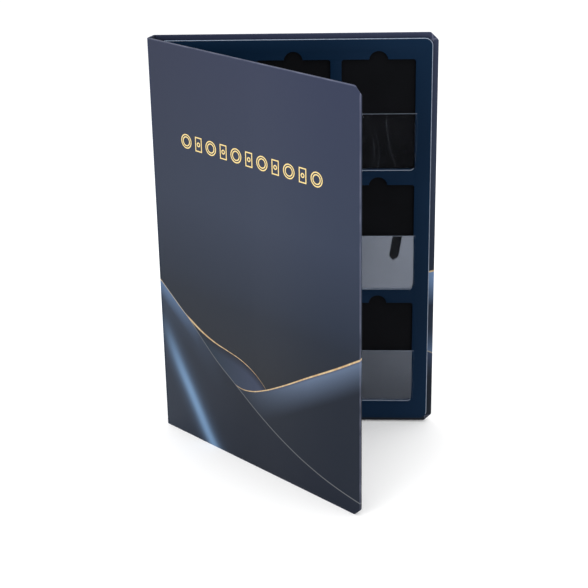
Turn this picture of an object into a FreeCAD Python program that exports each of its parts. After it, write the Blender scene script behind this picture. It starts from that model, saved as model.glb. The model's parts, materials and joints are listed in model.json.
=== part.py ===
"""Card album: two hard covers hinged to a narrow spine, each with a three by three pocket panel.

Every cover piece is drawn flat in its own frame: X runs from the fold line to the fore edge,
Z runs up from the table, and the outer face lies on the plane Y = 0. Depths are counted
inwards from that face. The placements then stand the covers and the spine half open.
"""
import FreeCAD, Part
import math
import os

import Sketcher

doc = FreeCAD.newDocument("card_album")

ORIGIN = FreeCAD.Vector(0, 0, 0)
UPRIGHT = FreeCAD.Vector(0, 0, 1)

# ---------------------------------------------------------------- driving sizes, millimetres
SIZES = (
    ("cover_height", 330.0, "bottom edge to top edge"),
    ("cover_width", 217.0, "fold line to fore edge"),
    ("spine_width", 10.8, "fold line to fold line"),
    ("fold_angle", 111.0, "degrees between the spine and each cover, inside"),
    ("wrap_thick", 0.25, "laminated paper that wraps the boards"),
    ("board_thick", 1.5, "greyboard in the covers and the spine"),
    ("turn_in", 16.0, "width of wrap folded over onto the inside"),
    ("corner_cut", 6.0, "clipped corner at the fore edge"),
    ("hinge_reach", 2.2, "fold line to the edge of a board"),
    ("fold_radius", 1.2, "outside radius of the wrap at a fold"),
    ("lining_lap", 12.0, "width of lining glued to each cover"),
    ("panel_start", 4.0, "fold line to the pocket panel"),
    ("panel_side", 4.3, "fore edge to the pocket panel"),
    ("panel_end", 3.7, "top or bottom edge to the pocket panel"),
    ("panel_radius", 6.0, "corner of the pocket panel"),
    ("liner_thick", 0.5, "black sheet at the back of the pockets"),
    ("frame_thick", 2.2, "die-cut sheet that forms the pockets"),
    ("film_thick", 0.2, "clear film across the lower half of a pocket"),
    ("columns", 3, "pockets across a panel"),
    ("rows", 3, "pockets up a panel"),
    ("pocket_width", 56.5, "opening for a card 54 wide"),
    ("pocket_height", 87.8, "opening for a card 86 tall"),
    ("pocket_radius", 2.0, "corner of a pocket"),
    ("column_pitch", 65.0, "pocket to pocket across"),
    ("row_pitch", 100.8, "pocket to pocket up"),
    ("pocket_side", 17.0, "fore edge to the last pocket"),
    ("pocket_head", 20.0, "top edge to the first row"),
    ("notch_radius", 7.2, "thumb notch in the top of a pocket"),
    ("notch_drop", 0.7, "centre of the thumb notch below the top of the pocket"),
    ("film_height", 45.0, "pocket bottom to the film's free edge"),
    ("film_lap", 1.8, "film welded down beyond the pocket"),
    ("foil_thick", 0.05, "gold foil above the wrap"),
    ("foil_tall", 11.5, "height of the ornament row"),
    ("foil_line", 0.9, "width of a foil line"),
    ("foil_start", 34.5, "fold line to the ornament row"),
    ("foil_base", 250.5, "bottom edge to the ornament row"),
    ("foil_pitch", 27.2, "coin to coin along the row"),
    ("foil_coins", 6, "coins in the row"),
    ("foil_card", 7.3, "width of a card in the row"),
)

sheet = doc.addObject("Spreadsheet::Sheet", "sizes")
for row, (alias, number, note) in enumerate(SIZES, start=1):
    sheet.set(f"A{row}", note)
    sheet.set(f"B{row}", str(number))
    sheet.setAlias(f"B{row}", alias)
doc.recompute()


def value_of(expression):
    """The number that an expression on the sheet gives now."""
    return float(sheet.evalExpression(expression))


def turned(angle, base):
    """A placement turned about the upright axis, with its origin at base."""
    return FreeCAD.Placement(base, FreeCAD.Rotation(UPRIGHT, angle))


# depths below the outer face, and lines along the cover, as expressions on the sheet
WRAP = "sizes.wrap_thick"
BOARD_TOP = "sizes.wrap_thick + sizes.board_thick"
COVER = "2 * sizes.wrap_thick + sizes.board_thick"
LINER_TOP = f"{COVER} + sizes.liner_thick"
FRAME_TOP = f"{LINER_TOP} + sizes.frame_thick"
FIRST_POCKET = (
    "sizes.cover_width - sizes.pocket_side - sizes.pocket_width"
    " - (sizes.columns - 1) * sizes.column_pitch"
)
LOWEST_POCKET = (
    "sizes.cover_height - sizes.pocket_head - sizes.pocket_height"
    " - (sizes.rows - 1) * sizes.row_pitch"
)

BACK = 1  # inwards is along -Y, which is the sketch normal
FRONT = -1  # inwards is along +Y; the spine is drawn this way round too


# ---------------------------------------------------------------- sketches
def flat_sketch(body, name, depth, inward):
    """A sketch parallel to the cover, at this depth below its outer face."""
    plane = next(f for f in body.Origin.OriginFeatures if f.Role == "XZ_Plane")
    sketch = body.newObject("Sketcher::SketchObject", name)
    sketch.AttachmentSupport = [(plane, "")]
    sketch.MapMode = "FlatFace"
    sketch.setExpression("AttachmentOffset.Base.z", f"{inward} * ({depth})")
    return sketch


def add_lines(sketch, points):
    """Straight edges from point to point, closed and joined."""
    count = len(points)
    for index in range(count):
        start = FreeCAD.Vector(*points[index], 0)
        end = FreeCAD.Vector(*points[(index + 1) % count], 0)
        sketch.addGeometry(Part.LineSegment(start, end), False)
    for index in range(count):
        sketch.addConstraint(Sketcher.Constraint("Coincident", index, 2, (index + 1) % count, 1))


def hold(sketch, name, kind, where, expression):
    """A dimension of the sketch, bound to the sheet."""
    index = sketch.addConstraint(Sketcher.Constraint(kind, *where, value_of(expression)))
    sketch.renameConstraint(index, name)
    sketch.setExpression(f"Constraints.{name}", expression)


def draw_cover(sketch, start, inset):
    """Cover outline with clipped fore-edge corners, from start to the fore edge."""
    left = value_of(start)
    right = value_of(f"sizes.cover_width - ({inset})")
    base = value_of(inset)
    top = value_of(f"sizes.cover_height - ({inset})")
    cut = value_of("sizes.corner_cut")
    add_lines(
        sketch,
        [
            (left, base),
            (right - cut, base),
            (right, base + cut),
            (right, top - cut),
            (right - cut, top),
            (left, top),
        ],
    )
    bottom_edge, low_cut, fore_edge, high_cut, top_edge, hinge_edge = range(6)
    for edge in (bottom_edge, top_edge):
        sketch.addConstraint(Sketcher.Constraint("Horizontal", edge))
    for edge in (fore_edge, hinge_edge):
        sketch.addConstraint(Sketcher.Constraint("Vertical", edge))
    hold(sketch, "start", "DistanceX", (-1, 1, bottom_edge, 1), start)
    hold(sketch, "base", "DistanceY", (-1, 1, bottom_edge, 1), inset)
    hold(sketch, "fore", "DistanceX", (-1, 1, fore_edge, 1), f"sizes.cover_width - ({inset})")
    hold(sketch, "top", "DistanceY", (-1, 1, top_edge, 1), f"sizes.cover_height - ({inset})")
    hold(sketch, "low_cut_across", "DistanceX", (low_cut, 1, low_cut, 2), "sizes.corner_cut")
    hold(sketch, "low_cut_up", "DistanceY", (low_cut, 1, low_cut, 2), "sizes.corner_cut")
    hold(sketch, "high_cut_across", "DistanceX", (high_cut, 2, high_cut, 1), "sizes.corner_cut")
    hold(sketch, "high_cut_up", "DistanceY", (high_cut, 1, high_cut, 2), "sizes.corner_cut")


def draw_rectangle(sketch, left, base, width, height):
    """A plain rectangle."""
    low_x, low_z = value_of(left), value_of(base)
    high_x, high_z = low_x + value_of(width), low_z + value_of(height)
    add_lines(sketch, [(low_x, low_z), (high_x, low_z), (high_x, high_z), (low_x, high_z)])
    for edge, direction in enumerate(("Horizontal", "Vertical", "Horizontal", "Vertical")):
        sketch.addConstraint(Sketcher.Constraint(direction, edge))
    hold(sketch, "left", "DistanceX", (-1, 1, 0, 1), left)
    hold(sketch, "base", "DistanceY", (-1, 1, 0, 1), base)
    hold(sketch, "width", "DistanceX", (0, 1, 0, 2), width)
    hold(sketch, "height", "DistanceY", (1, 1, 1, 2), height)


def draw_rounded(sketch, left, base, width, height, radius):
    """A rectangle with round corners: four straight edges joined by four tangent arcs."""
    low_x, low_z, r = value_of(left), value_of(base), value_of(radius)
    high_x, high_z = low_x + value_of(width), low_z + value_of(height)
    corners = ((high_x, low_z), (high_x, high_z), (low_x, high_z), (low_x, low_z))
    centres = [
        FreeCAD.Vector(x - math.copysign(r, x - low_x - r), z - math.copysign(r, z - low_z - r), 0)
        for x, z in corners
    ]
    straight = (
        ((low_x + r, low_z), (high_x - r, low_z)),
        ((high_x, low_z + r), (high_x, high_z - r)),
        ((high_x - r, high_z), (low_x + r, high_z)),
        ((low_x, high_z - r), (low_x, low_z + r)),
    )
    for start, end in straight:
        sketch.addGeometry(
            Part.LineSegment(FreeCAD.Vector(*start, 0), FreeCAD.Vector(*end, 0)), False
        )
    for quarter, centre in enumerate(centres):
        turn = (quarter - 1) * math.pi / 2
        circle = Part.Circle(centre, UPRIGHT, r)
        sketch.addGeometry(Part.ArcOfCircle(circle, turn, turn + math.pi / 2), False)
    for edge in range(4):
        arc = 4 + edge
        sketch.addConstraint(Sketcher.Constraint("Tangent", edge, 2, arc, 1))
        sketch.addConstraint(Sketcher.Constraint("Tangent", arc, 2, (edge + 1) % 4, 1))
        direction = "Vertical" if edge % 2 else "Horizontal"
        sketch.addConstraint(Sketcher.Constraint(direction, edge))
    for arc in (5, 6, 7):
        sketch.addConstraint(Sketcher.Constraint("Equal", 4, arc))
    hold(sketch, "radius", "Radius", (4,), radius)
    hold(sketch, "left", "DistanceX", (-1, 1, 3, 1), left)
    hold(sketch, "base", "DistanceY", (-1, 1, 0, 1), base)
    hold(sketch, "width", "DistanceX", (3, 1, 1, 1), width)
    hold(sketch, "height", "DistanceY", (0, 1, 2, 1), height)


# ---------------------------------------------------------------- features
def pad(body, sketch, thickness, inward):
    """Grows the sketch inwards."""
    feature = body.newObject("PartDesign::Pad", "Pad")
    feature.Profile = sketch
    feature.setExpression("Length", thickness)
    feature.Reversed = inward == FRONT
    return feature


def pocket(body, sketch, depth, inward):
    """Cuts the sketch inwards, and stops if it takes nothing away."""
    before = body.Shape.Volume
    feature = body.newObject("PartDesign::Pocket", "Pocket")
    feature.Profile = sketch
    feature.setExpression("Length", depth)
    feature.Reversed = inward == BACK
    doc.recompute()
    if body.Shape.Volume > before - 1:
        raise RuntimeError(f"{body.Label}: {sketch.Label} cut nothing")
    return feature


def new_body(label):
    body = doc.addObject("PartDesign::Body", label)
    body.Label = label
    return body


def flat_piece(label, inward, depth, thickness, draw, *sizes_of_outline):
    """A piece cut from flat sheet: one outline, padded."""
    body = new_body(label)
    sketch = flat_sketch(body, f"{label}_outline", depth, inward)
    draw(sketch, *sizes_of_outline)
    pad(body, sketch, thickness, inward)
    return body


# ---------------------------------------------------------------- cover pieces
def cover_board(label, inward):
    """Greyboard that stiffens the cover."""
    return flat_piece(
        label, inward, WRAP, "sizes.board_thick", draw_cover, "sizes.hinge_reach", WRAP
    )


def cover_wrap(label, inward):
    """Printed wrap: outer face, three edges and a band turned in over the board."""
    body = flat_piece(label, inward, "0", COVER, draw_cover, "sizes.hinge_reach", "0")
    doc.recompute()
    bed = flat_sketch(body, f"{label}_board_bed", WRAP, inward)
    draw_cover(bed, "sizes.hinge_reach - 1", WRAP)
    pocket(body, bed, "sizes.board_thick", inward)
    inside = flat_sketch(body, f"{label}_inside", BOARD_TOP, inward)
    draw_rectangle(
        inside,
        "sizes.hinge_reach - 1",
        "sizes.turn_in",
        "sizes.cover_width - sizes.turn_in - sizes.hinge_reach + 1",
        "sizes.cover_height - 2 * sizes.turn_in",
    )
    pocket(body, inside, "sizes.wrap_thick", inward)
    return body


def cover_lining(label, inward):
    """Lining glued down beside the fold, its far edge under the pocket panel."""
    return flat_piece(
        label,
        inward,
        BOARD_TOP,
        "sizes.wrap_thick",
        draw_rectangle,
        "sizes.hinge_reach",
        "sizes.turn_in",
        "sizes.lining_lap",
        "sizes.cover_height - 2 * sizes.turn_in",
    )


def panel_sheet(label, inward, depth, thickness):
    """A sheet of the pocket panel, before any pocket is cut."""
    return flat_piece(
        label,
        inward,
        depth,
        thickness,
        draw_rounded,
        "sizes.panel_start",
        "sizes.panel_end",
        "sizes.cover_width - sizes.panel_start - sizes.panel_side",
        "sizes.cover_height - 2 * sizes.panel_end",
        "sizes.panel_radius",
    )


def pocket_frame(label, inward):
    """Die-cut sheet: one window with a thumb notch, repeated across and up the panel."""
    body = panel_sheet(label, inward, LINER_TOP, "sizes.frame_thick")
    doc.recompute()
    whole_sheet = body.Shape.Volume
    window = flat_sketch(body, f"{label}_window", LINER_TOP, inward)
    draw_rounded(
        window,
        FIRST_POCKET,
        LOWEST_POCKET,
        "sizes.pocket_width",
        "sizes.pocket_height",
        "sizes.pocket_radius",
    )
    window_cut = pocket(body, window, "sizes.frame_thick", inward)
    notch = flat_sketch(body, f"{label}_notch", LINER_TOP, inward)
    across = f"{FIRST_POCKET} + sizes.pocket_width / 2"
    up = f"{LOWEST_POCKET} + sizes.pocket_height - sizes.notch_drop"
    centre = FreeCAD.Vector(value_of(across), value_of(up), 0)
    circle = Part.Circle(centre, UPRIGHT, value_of("sizes.notch_radius"))
    notch.addGeometry(circle, False)
    hold(notch, "radius", "Radius", (0,), "sizes.notch_radius")
    hold(notch, "across", "DistanceX", (-1, 1, 0, 3), across)
    hold(notch, "up", "DistanceY", (-1, 1, 0, 3), up)
    notch_cut = pocket(body, notch, "sizes.frame_thick", inward)
    one_pocket = whole_sheet - body.Shape.Volume

    grid = body.newObject("PartDesign::LinearPattern", "grid")
    grid.Originals = [window_cut, notch_cut]
    grid.Direction = (window, ["H_Axis"])
    grid.Direction2 = (window, ["V_Axis"])
    grid.Mode = "Extent"
    grid.Mode2 = "Extent"
    grid.setExpression("Length", "(sizes.columns - 1) * sizes.column_pitch")
    grid.setExpression("Length2", "(sizes.rows - 1) * sizes.row_pitch")
    grid.setExpression("Occurrences", "sizes.columns")
    grid.setExpression("Occurrences2", "sizes.rows")
    body.Tip = grid
    doc.recompute()
    all_pockets = whole_sheet - body.Shape.Volume
    if abs(all_pockets - one_pocket * value_of("sizes.columns * sizes.rows")) > 1:
        raise RuntimeError(f"{label}: the pockets were not repeated over the whole grid")
    return body


def pocket_film(label, inward, column, row_up):
    """Clear film welded over the lower half of one pocket, open at its top edge."""
    return flat_piece(
        label,
        inward,
        FRAME_TOP,
        "sizes.film_thick",
        draw_rounded,
        f"{FIRST_POCKET} + {column} * sizes.column_pitch - sizes.film_lap",
        f"{LOWEST_POCKET} + {row_up} * sizes.row_pitch - sizes.film_lap",
        "sizes.pocket_width + 2 * sizes.film_lap",
        "sizes.film_height + sizes.film_lap",
        "sizes.film_lap",
    )


def build_cover(side, inward):
    """Every piece of one cover, in the order in which it is put together."""
    pieces = [
        cover_board(f"{side}_board", inward),
        cover_wrap(f"{side}_wrap", inward),
        cover_lining(f"{side}_lining", inward),
        panel_sheet(f"{side}_pocket_liner", inward, COVER, "sizes.liner_thick"),
        pocket_frame(f"{side}_pocket_frame", inward),
    ]
    for row_up in range(int(value_of("sizes.rows"))):
        for column in range(int(value_of("sizes.columns"))):
            row_down = int(value_of("sizes.rows")) - row_up
            label = f"{side}_film_row{row_down}_col{column + 1}"
            pieces.append(pocket_film(label, inward, column, row_up))
    return pieces


# ---------------------------------------------------------------- spine and folds
SPINE_FLAT = "sizes.spine_width - 2 * sizes.hinge_reach"


def spine_board():
    """Narrow strip of greyboard between the two folds."""
    return flat_piece(
        "spine_board",
        FRONT,
        WRAP,
        "sizes.board_thick",
        draw_rectangle,
        "sizes.hinge_reach",
        WRAP,
        SPINE_FLAT,
        "sizes.cover_height - 2 * sizes.wrap_thick",
    )


def spine_wrap():
    """The wrap over the spine: outer face, with both ends turned over the board."""
    body = flat_piece(
        "spine_wrap",
        FRONT,
        "0",
        BOARD_TOP,
        draw_rectangle,
        "sizes.hinge_reach",
        "0",
        SPINE_FLAT,
        "sizes.cover_height",
    )
    doc.recompute()
    bed = flat_sketch(body, "spine_wrap_board_bed", WRAP, FRONT)
    draw_rectangle(
        bed,
        "sizes.hinge_reach - 1",
        WRAP,
        f"{SPINE_FLAT} + 2",
        "sizes.cover_height - 2 * sizes.wrap_thick",
    )
    pocket(body, bed, "sizes.board_thick", FRONT)
    return body


def spine_lining():
    """Lining over the inner face of the spine."""
    return flat_piece(
        "spine_lining",
        FRONT,
        BOARD_TOP,
        "sizes.wrap_thick",
        draw_rectangle,
        "sizes.hinge_reach",
        WRAP,
        SPINE_FLAT,
        "sizes.cover_height - 2 * sizes.wrap_thick",
    )


def fold_strip(label):
    """The bare wrap that bends at a fold: a round corner between two short flat legs.

    The round corner's centre is the frame's origin, and the first leg runs along +X.
    """
    turn = "180 - sizes.fold_angle"
    reach = "sizes.hinge_reach - sizes.fold_radius / tan(sizes.fold_angle / 2 * 1deg)"

    def sector(name, radius):
        round_part = doc.addObject("Part::Cylinder", name)
        round_part.setExpression("Radius", radius)
        round_part.setExpression("Height", "sizes.cover_height")
        round_part.setExpression("Angle", turn)
        round_part.Placement = turned(90, ORIGIN)
        return round_part

    def leg(name, first):
        flat = doc.addObject("Part::Box", name)
        flat.setExpression("Length", reach)
        flat.setExpression("Width", "sizes.wrap_thick")
        flat.setExpression("Height", "sizes.cover_height")
        along = 0.0 if first else -value_of(reach)
        corner = FreeCAD.Vector(along, value_of("sizes.fold_radius - sizes.wrap_thick"), 0)
        swing = turned(0 if first else value_of(turn), ORIGIN)
        flat.Placement = swing.multiply(turned(0, corner))
        return flat

    bend = doc.addObject("Part::Cut", f"{label}_bend")
    bend.Base = sector(f"{label}_outer", "sizes.fold_radius")
    bend.Tool = sector(f"{label}_inner", "sizes.fold_radius - sizes.wrap_thick")
    strip = doc.addObject("Part::MultiFuse", label)
    strip.Shapes = [bend, leg(f"{label}_leg_1", True), leg(f"{label}_leg_2", False)]
    strip.Refine = True
    strip.Label = label
    return strip


# ---------------------------------------------------------------- ornament on the front cover
def foil_ornament():
    """A row of coins and cards in hot-stamped gold foil: plain rings and plain outlines."""
    lines = []

    def ring(name, centre_x, centre_z, radius):
        outer = doc.addObject("Part::Cylinder", f"{name}_outer")
        inner = doc.addObject("Part::Cylinder", f"{name}_inner")
        outer.setExpression("Radius", radius)
        inner.setExpression("Radius", f"{radius} - sizes.foil_line")
        for disc in (outer, inner):
            disc.setExpression("Height", "sizes.foil_thick")
            disc.Placement = FreeCAD.Placement(
                FreeCAD.Vector(centre_x, 0, centre_z),
                FreeCAD.Rotation(FreeCAD.Vector(1, 0, 0), 90),
            )
        cut = doc.addObject("Part::Cut", name)
        cut.Base = outer
        cut.Tool = inner
        lines.append(cut)

    def card(name, centre_x, base_z):
        outer = doc.addObject("Part::Box", f"{name}_outer")
        inner = doc.addObject("Part::Box", f"{name}_inner")
        for box, inset in ((outer, "0"), (inner, "sizes.foil_line")):
            box.setExpression("Length", f"sizes.foil_card - 2 * {inset}")
            box.setExpression("Width", "sizes.foil_thick")
            box.setExpression("Height", f"sizes.foil_tall - 2 * {inset}")
            left = centre_x - value_of(f"sizes.foil_card / 2 - {inset}")
            below = base_z + value_of(inset)
            box.Placement.Base = FreeCAD.Vector(left, -value_of("sizes.foil_thick"), below)
        cut = doc.addObject("Part::Cut", name)
        cut.Base = outer
        cut.Tool = inner
        lines.append(cut)

    middle = value_of("sizes.foil_base + sizes.foil_tall / 2")
    coins = int(value_of("sizes.foil_coins"))
    for index in range(coins):
        centre_x = value_of(
            f"sizes.foil_start + sizes.foil_tall / 2 + {index} * sizes.foil_pitch"
        )
        ring(f"coin_{index + 1}", centre_x, middle, "sizes.foil_tall / 2")
        ring(f"coin_rim_{index + 1}", centre_x, middle, "sizes.foil_tall / 2 - 2 * sizes.foil_line")
        if index + 1 < coins:
            card_x = centre_x + value_of("sizes.foil_pitch / 2")
            card(f"card_{index + 1}", card_x, value_of("sizes.foil_base"))
            ring(f"card_coin_{index + 1}", card_x, middle, "sizes.foil_card / 2 - 2 * sizes.foil_line")
    ornament = doc.addObject("Part::Compound", "title_foil")
    ornament.Links = lines
    ornament.Label = "title_foil"
    return ornament


# ---------------------------------------------------------------- put together, half open
back_pieces = build_cover("back", BACK)
front_pieces = build_cover("front", FRONT) + [foil_ornament()]
spine_pieces = [spine_board(), spine_wrap(), spine_lining()]
back_fold_strip = fold_strip("back_fold_strip")
front_fold_strip = fold_strip("front_fold_strip")
doc.recompute()

fold = value_of("sizes.fold_angle")
back_place = turned(0, ORIGIN)
spine_place = turned(-fold, ORIGIN)
front_fold = spine_place.multVec(FreeCAD.Vector(value_of("sizes.spine_width"), 0, 0))
front_place = turned(180 - 2 * fold, front_fold)
corner_along = value_of("sizes.fold_radius") / math.tan(math.radians(fold / 2))
corner_centre = FreeCAD.Vector(corner_along, -value_of("sizes.fold_radius"), 0)

groups = (
    (back_pieces, back_place),
    (spine_pieces, spine_place),
    (front_pieces, front_place),
    ([back_fold_strip], turned(0, corner_centre)),
    ([front_fold_strip], turned(180 - fold, front_fold).multiply(turned(0, corner_centre))),
)
for pieces, place in groups:
    for piece in pieces:
        piece.Placement = place
doc.recompute()

# the origin: middle of the whole footprint, on the table
sub_parts = [piece for pieces, _ in groups for piece in pieces]
low_x = min(piece.Shape.BoundBox.XMin for piece in sub_parts)
high_x = max(piece.Shape.BoundBox.XMax for piece in sub_parts)
low_y = min(piece.Shape.BoundBox.YMin for piece in sub_parts)
high_y = max(piece.Shape.BoundBox.YMax for piece in sub_parts)
to_middle = FreeCAD.Placement(
    FreeCAD.Vector(-(low_x + high_x) / 2, -(low_y + high_y) / 2, 0), FreeCAD.Rotation()
)
for piece in sub_parts:
    piece.Placement = to_middle.multiply(piece.Placement)
doc.recompute()

# ---------------------------------------------------------------- checks and files
for item in doc.Objects:
    if "Invalid" in item.State or "Error" in item.State:
        raise RuntimeError(f"{item.Label} failed: {item.State}")
for piece in sub_parts:
    if piece.Shape.isNull() or not piece.Shape.isValid() or piece.Shape.Volume <= 0:
        raise RuntimeError(f"{piece.Label} has no valid solid")

os.makedirs("parts", exist_ok=True)
for piece in sub_parts:
    piece.Shape.exportStep(f"parts/{piece.Label}.step")
    print(f"{piece.Label}: {len(piece.Shape.Solids)} solid(s), {piece.Shape.Volume:.1f} mm3")

for name, point in (("back fold", ORIGIN), ("front fold", front_fold)):
    row_point = to_middle.multVec(point)
    print(f"{name} at x {row_point.x:.4f}, y {row_point.y:.4f}")
print(f"footprint {high_x - low_x:.2f} by {high_y - low_y:.2f}")
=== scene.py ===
# Coin album: two board covers in one printed paper wrap, joined by a narrow spine. Each cover
# carries a welded pocket panel inside, with nine windows for coin cards and a clear film over
# the lower half of each. It stands on its lower edge, partly open.
import json
import math

import bmesh
import bpy
from mathutils import Matrix, Vector


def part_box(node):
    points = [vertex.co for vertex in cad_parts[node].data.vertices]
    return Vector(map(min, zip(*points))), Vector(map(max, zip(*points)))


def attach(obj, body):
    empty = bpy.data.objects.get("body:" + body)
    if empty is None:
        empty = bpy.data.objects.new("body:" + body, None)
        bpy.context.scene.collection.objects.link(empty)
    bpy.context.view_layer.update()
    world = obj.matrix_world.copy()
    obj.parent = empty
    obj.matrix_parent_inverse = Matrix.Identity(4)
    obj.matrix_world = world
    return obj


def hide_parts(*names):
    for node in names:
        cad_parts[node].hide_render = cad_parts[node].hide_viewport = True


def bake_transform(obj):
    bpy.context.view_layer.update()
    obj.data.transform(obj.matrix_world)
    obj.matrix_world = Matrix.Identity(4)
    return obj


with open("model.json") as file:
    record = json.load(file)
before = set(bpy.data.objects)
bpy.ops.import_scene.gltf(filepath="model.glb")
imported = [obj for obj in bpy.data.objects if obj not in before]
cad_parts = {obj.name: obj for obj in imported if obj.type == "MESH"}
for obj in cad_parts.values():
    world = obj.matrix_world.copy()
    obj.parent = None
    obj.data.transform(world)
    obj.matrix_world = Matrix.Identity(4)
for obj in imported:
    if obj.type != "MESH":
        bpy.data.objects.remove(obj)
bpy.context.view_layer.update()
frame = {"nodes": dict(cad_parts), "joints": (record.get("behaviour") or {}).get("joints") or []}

nodes = frame["nodes"]

# ---------------------------------------------------------------------------------------------
# Greyboards: three flat pieces of 1.5 mm recycled greyboard, one in each cover and one in the
# spine. They are guillotined, glued to the wrap and wholly covered by it.
MM = 0.001
BOARDS = ("back", "spine", "front")


def linear(colour):
    """An sRGB hex colour as the linear values that a shader takes."""
    parts = [int(colour[i:i + 2], 16) / 255 for i in (1, 3, 5)]
    return (*(p / 12.92 if p <= 0.04045 else ((p + 0.055) / 1.055) ** 2.4 for p in parts), 1)


def blank_material(name):
    material = bpy.data.materials.new(name)
    material.use_nodes = True
    material.node_tree.nodes.clear()
    return material, material.node_tree


def add(tree, kind, *inputs, sockets=None, **settings):
    """Adds a node with its settings, and feeds its sockets with values or with other nodes."""
    made = tree.nodes.new(kind)
    for name, value in settings.items():
        setattr(made, name, value)
    for key, value in [*enumerate(inputs), *(sockets or {}).items()]:
        if isinstance(value, bpy.types.Node):
            value = value.outputs[0]
        if isinstance(value, bpy.types.NodeSocket):
            tree.links.new(value, made.inputs[key])
        else:
            made.inputs[key].default_value = value
    return made


# Recycled greyboard, rolled: dull and mottled by fibres about a millimetre long.
GREYBOARD_FIBRE = 1.2
greyboard, tree = blank_material("greyboard_recycled_rolled")
object_place = add(tree, "ShaderNodeTexCoord").outputs["Object"]
fibres = add(tree, "ShaderNodeTexNoise", sockets={
    "Vector": object_place, "Scale": 1 / (GREYBOARD_FIBRE * MM), "Detail": 4.0})
mottle = add(tree, "ShaderNodeMix", fibres, data_type="RGBA",
             sockets={6: linear("#6f6a63"), 7: linear("#9a948a")})
relief = add(tree, "ShaderNodeBump", sockets={"Height": fibres, "Strength": 0.4, "Distance": 0.1 * MM})
board_finish = add(tree, "ShaderNodeBsdfPrincipled", sockets={
    "Base Color": mottle.outputs[2], "Roughness": 0.92, "Normal": relief})
add(tree, "ShaderNodeOutputMaterial", board_finish)


def finish_node(name, material):
    """Gives a carried-over part its material, in all of its slots."""
    for slot in nodes[name].material_slots:
        slot.material = material


for side in BOARDS:
    finish_node(f"{side}_board", greyboard)

# ---------------------------------------------------------------------------------------------
# Printed wrap: one sheet of art paper, offset printed and matt laminated, glued round all the
# boards. Its print runs from fore edge to fore edge: dusk-blue cloth folds with gilt hems.
FOLDS = {joint["name"]: Vector(joint["pos_m"]) / MM for joint in frame["joints"]}
BACK_FOLD, FRONT_FOLD = FOLDS["back_fold"], FOLDS["front_fold"]
SPINE_WIDTH = (FRONT_FOLD - BACK_FOLD).length
SPINE_TURN = math.atan2(FRONT_FOLD.y - BACK_FOLD.y, FRONT_FOLD.x - BACK_FOLD.x)
FRONT_TURN = math.pi + 2 * SPINE_TURN
COVER_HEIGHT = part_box("back_wrap")[1].z / MM
COVER_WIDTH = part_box("back_wrap")[1].x / MM - BACK_FOLD.x
HINGE_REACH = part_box("back_wrap")[0].x / MM - BACK_FOLD.x


def board_place(fold, turn, inside):
    """A board's own millimetres (along it, up it, into the album) as a matrix to the row frame."""
    along = Vector((math.cos(turn), math.sin(turn), 0))
    inward = Vector((math.sin(turn), -math.cos(turn), 0)) * inside
    turned = Matrix((along, Vector((0, 0, 1)), inward)).transposed().to_4x4()
    return Matrix.Scale(MM, 4) @ Matrix.Translation(fold) @ turned


PLACES = {
    "back": board_place(BACK_FOLD, 0, 1),
    "spine": board_place(BACK_FOLD, SPINE_TURN, -1),
    "front": board_place(FRONT_FOLD, FRONT_TURN, -1),
}
BODIES = {"back": "back_cover", "spine": "spine", "front": "front_cover"}

# Sizes in mm. FACE_MARGIN is where the flat face gives way to the rows of faces round the edge.
# The corner bends grow tighter towards the inside of the turn-in, down to LEAST_BEND.
TURN_IN = 16.0
WRAP_THICK = 0.25
EDGE_ROUND = 0.45
EDGE_STEPS = 4
FACE_MARGIN = 3.0
CORNER_CUT = 6.0
CORNER_FLAP = 9.0
CORNER_ROUND = 2.4
CORNER_STEPS = 3
LEAST_BEND = 0.05
COVER_DEPTH = 2.0
SHARP_ANGLE = 30
PRINT_LEFT, PRINT_RIGHT = -250.0, 240.0
PRINT_BASE, PRINT_TOP = -20.0, 220.0
PRINT_EDGE = 0.4

# Outlines of the printed cloth folds: distance from the front fold, and height, in mm.
FRONT_HEM = [(-250, 131), (-228, 136), (-185, 151), (-140, 174), (-95, 186), (-55, 174), (-20, 149),
             (0, 132.5), (13, 122.3), (24, 113.8), (34, 106.4), (50.4, 91.6), (66.4, 78.2), (83.3, 67),
             (116, 45.8), (144.3, 31.2), (166, 22.8), (187.3, 16.8), (215.4, 11.8), (240, 9)]
PETAL_HEM = [(-250, -20), (-40, 60), (0, 121), (16, 117), (28, 110.2), (36, 106), (49.2, 99.6),
             (63.4, 95), (78.4, 92.2), (92, 89.4), (104.8, 84.3), (113, 79), (121, 71.5), (150, 30),
             (240, -20)]
RIGHT_HEM = [(-250, -20), (30, 20), (70, 69.5), (82, 66.4), (92.4, 64.2), (102.6, 65.5), (116, 70.5),
             (130.4, 77.8), (167.5, 99.6), (192.7, 114.3), (217.8, 129.9), (240, 143)]
BACK_HEM = [(-250, 71), (-228, 62), (-190, 46), (-150, 24), (-115, 1), (-90, -20), (240, -20)]
# Middle lines of the soft highlights on two of the folds: height, and distance from the front fold.
FRONT_GLEAM = [(-20, 75), (5, 54), (25, 41.6), (43, 30.8), (60, 20.6), (78, 11), (98, 2), (130, -11),
               (220, -40)]
BACK_GLEAM = [(-20, -62), (20, -78), (60, -97), (100, -120), (140, -146), (180, -175), (220, -200)]

wrap_paper, tree = blank_material("art_paper_offset_printed_matt_laminated")
uv_place = add(tree, "ShaderNodeUVMap", uv_map="print").outputs[0]
print_place = add(tree, "ShaderNodeSeparateXYZ", uv_place)
run = add(tree, "ShaderNodeMath", print_place.outputs[0], 1 / MM, operation="MULTIPLY")
rise = add(tree, "ShaderNodeMath", print_place.outputs[1], 1 / MM, operation="MULTIPLY")


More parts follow.
